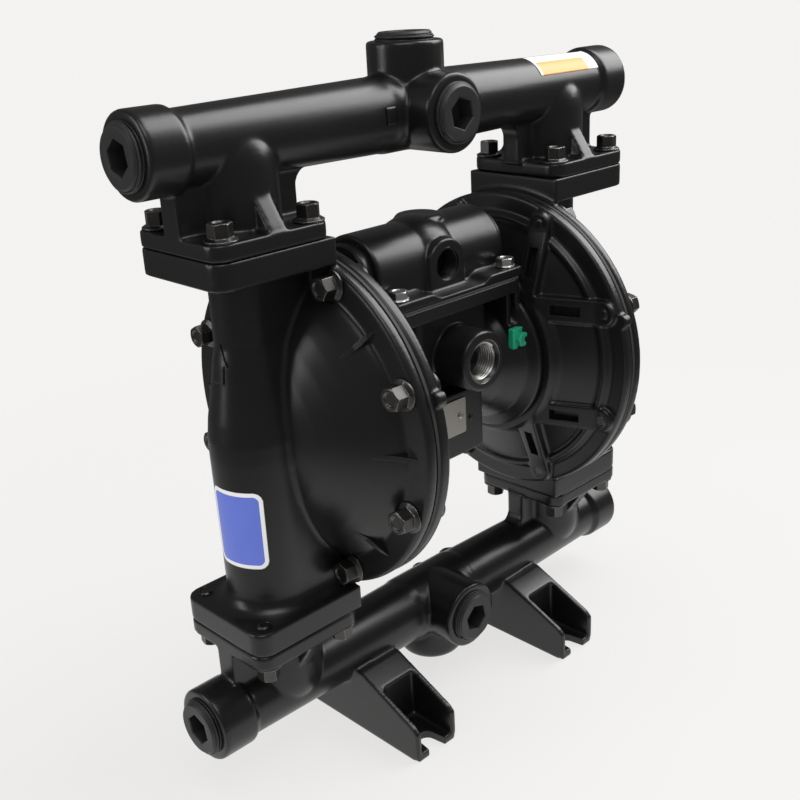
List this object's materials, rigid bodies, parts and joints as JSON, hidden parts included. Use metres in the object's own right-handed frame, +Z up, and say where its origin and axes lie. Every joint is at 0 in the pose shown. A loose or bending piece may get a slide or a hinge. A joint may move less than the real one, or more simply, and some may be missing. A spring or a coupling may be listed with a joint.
{
  "type": "air operated diaphragm pump",
  "caption": "Metal air operated diaphragm pump with paired chambers, ball checks, end and centre fluid ports, and slotted feet.",
  "frame": {"origin": "centre of the base, on the plane the feet stand on", "axes": "+Z up, X along the two manifolds with the open ports at +X, -Y the side with the air inlet"},
  "size_m": [0.3777, 0.2016, 0.415],
  "materials": {
    "coated_casting": "satin black coating on cast aluminium",
    "black_plug": "matte black pipe plug",
    "flange_bolt_steel": "burnished dark steel",
    "bright_steel": "ground stainless steel",
    "zinc_screw": "zinc plated",
    "plate_metal": "brushed plate",
    "green_screw": "green coated screw",
    "diaphragm_rubber": "black rubber",
    "ball_rubber": "smooth black rubber",
    "seal_rubber": "black nitrile",
    "white_plastic": "natural acetal",
    "gasket_fibre": "dark gasket sheet",
    "plate_aluminium": "turned aluminium"
  },
  "bodies": {
    "pump_frame": {"air_valve_body": "coated_casting", "air_valve_gasket": "gasket_fibre", "air_valve_screws": "zinc_screw", "center_housing": "coated_casting", "ground_screw": "green_screw", "inlet_end_plug": "black_plug", "inlet_front_plug": "black_plug", "inlet_manifold": "coated_casting", "inlet_manifold_bolts": "flange_bolt_steel", "left_air_cover": "coated_casting", "left_center_gasket": "gasket_fibre", "left_cover_bolts": "flange_bolt_steel", "left_diaphragm": "diaphragm_rubber", "left_fluid_cover": "coated_casting", "left_hub_screws": "bright_steel", "left_inlet_seat": "white_plastic", "left_outlet_seat": "white_plastic", "left_valve_cap": "coated_casting", "nameplate": "plate_metal", "nameplate_rivets": "plate_metal", "outlet_end_plug": "black_plug", "outlet_front_plug": "black_plug", "outlet_manifold": "coated_casting", "outlet_manifold_bolts": "flange_bolt_steel", "outlet_top_plug": "black_plug", "right_air_cover": "coated_casting", "right_center_gasket": "gasket_fibre", "right_cover_bolts": "flange_bolt_steel", "right_diaphragm": "diaphragm_rubber", "right_fluid_cover": "coated_casting", "right_hub_screws": "bright_steel", "right_inlet_seat": "white_plastic", "right_outlet_seat": "white_plastic", "right_valve_cap": "coated_casting", "seat_o_rings": "seal_rubber", "shaft_bushings": "white_plastic", "shaft_seals": "seal_rubber"},
    "shaft_assembly": {"diaphragm_shaft": "bright_steel", "left_air_plate": "plate_aluminium", "right_air_plate": "plate_aluminium", "left_fluid_plate": "plate_aluminium", "right_fluid_plate": "plate_aluminium", "left_shaft_bolt": "bright_steel", "right_shaft_bolt": "bright_steel"},
    "left_inlet_ball_body": {"left_inlet_ball": "ball_rubber"},
    "right_inlet_ball_body": {"right_inlet_ball": "ball_rubber"},
    "left_outlet_ball_body": {"left_outlet_ball": "ball_rubber"},
    "right_outlet_ball_body": {"right_outlet_ball": "ball_rubber"},
    "valve_spool_body": {"valve_spool": "bright_steel"}
  },
  "joints": [
    {"name": "shaft_stroke", "type": "slide", "parent": "pump_frame", "child": "shaft_assembly", "axis": [1, 0, 0], "range_m": [-0.0125, 0.0125], "deforming": ["left_diaphragm", "right_diaphragm"]},
    {"name": "left_inlet_ball_lift", "type": "slide", "parent": "pump_frame", "child": "left_inlet_ball_body", "axis": [0, 0, 1], "range_m": [0, 0.007]},
    {"name": "right_inlet_ball_lift", "type": "slide", "parent": "pump_frame", "child": "right_inlet_ball_body", "axis": [0, 0, 1], "range_m": [0, 0.007]},
    {"name": "left_outlet_ball_lift", "type": "slide", "parent": "pump_frame", "child": "left_outlet_ball_body", "axis": [0, 0, 1], "range_m": [0, 0.007]},
    {"name": "right_outlet_ball_lift", "type": "slide", "parent": "pump_frame", "child": "right_outlet_ball_body", "axis": [0, 0, 1], "range_m": [0, 0.007]},
    {"name": "valve_spool_shift", "type": "slide", "parent": "pump_frame", "child": "valve_spool_body", "axis": [1, 0, 0], "range_m": [-0.006, 0.006]}
  ]
}
